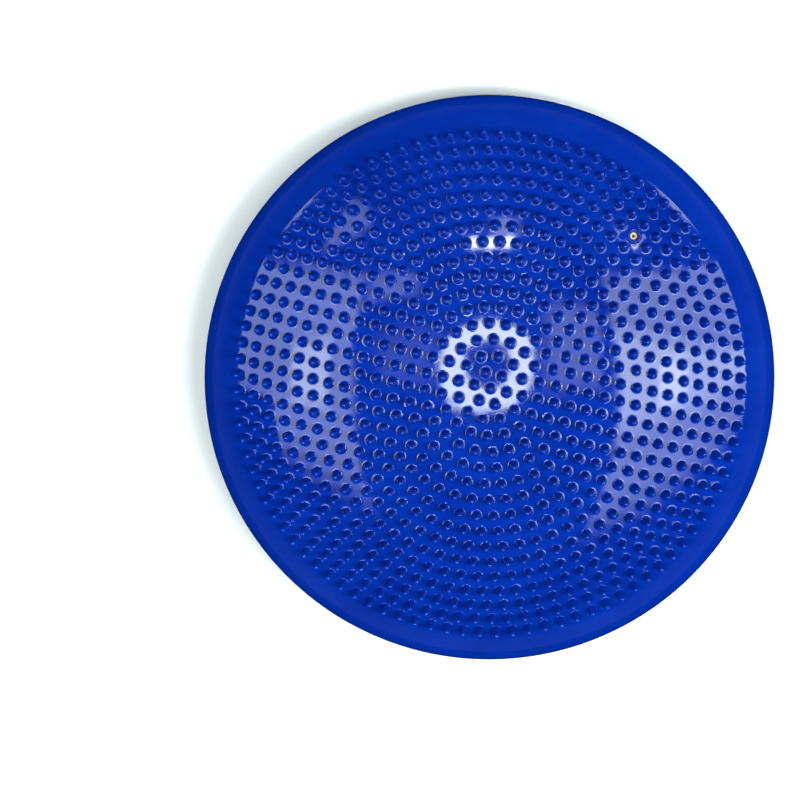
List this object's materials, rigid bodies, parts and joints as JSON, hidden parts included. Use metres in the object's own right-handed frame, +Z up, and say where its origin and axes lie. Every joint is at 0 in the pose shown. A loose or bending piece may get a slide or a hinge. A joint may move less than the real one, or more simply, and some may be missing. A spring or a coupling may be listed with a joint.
{
  "type": "wobble cushion",
  "caption": "Round air-filled wobble cushion of soft PVC, with a domed nubbed top, a smooth rounded side and a needle valve for inflating it.",
  "frame": {"origin": "centre of the flat foot, on the floor", "axes": "+Z up through the centre of the domed top; the valve is at about 46 degrees from +X towards +Y"},
  "size_m": [0.33, 0.33, 0.0754],
  "materials": {
    "casing": "satin gloss, fine moulded grain",
    "valve_housing": "matt moulded PVC",
    "valve_core": "matt natural rubber"
  },
  "bodies": {
    "base": {"bottom_skin": "casing"},
    "rim": {"side_wall": "casing"},
    "top": {"top_skin": "casing", "valve_housing": "valve_housing", "valve_core": "valve_core"}
  },
  "joints": [
    {"name": "wobble_front_back", "type": "hinge", "parent": "base", "child": "rim", "pos_m": [0, 0, 0.03], "axis": [1, 0, 0], "range_deg": [-6, 6], "stiffness_Nm_per_rad": 120, "deforming": ["side_wall"]},
    {"name": "wobble_left_right", "type": "hinge", "parent": "rim", "child": "top", "pos_m": [0, 0, 0.03], "axis": [0, 1, 0], "range_deg": [-6, 6], "stiffness_Nm_per_rad": 120, "deforming": ["side_wall"]}
  ]
}
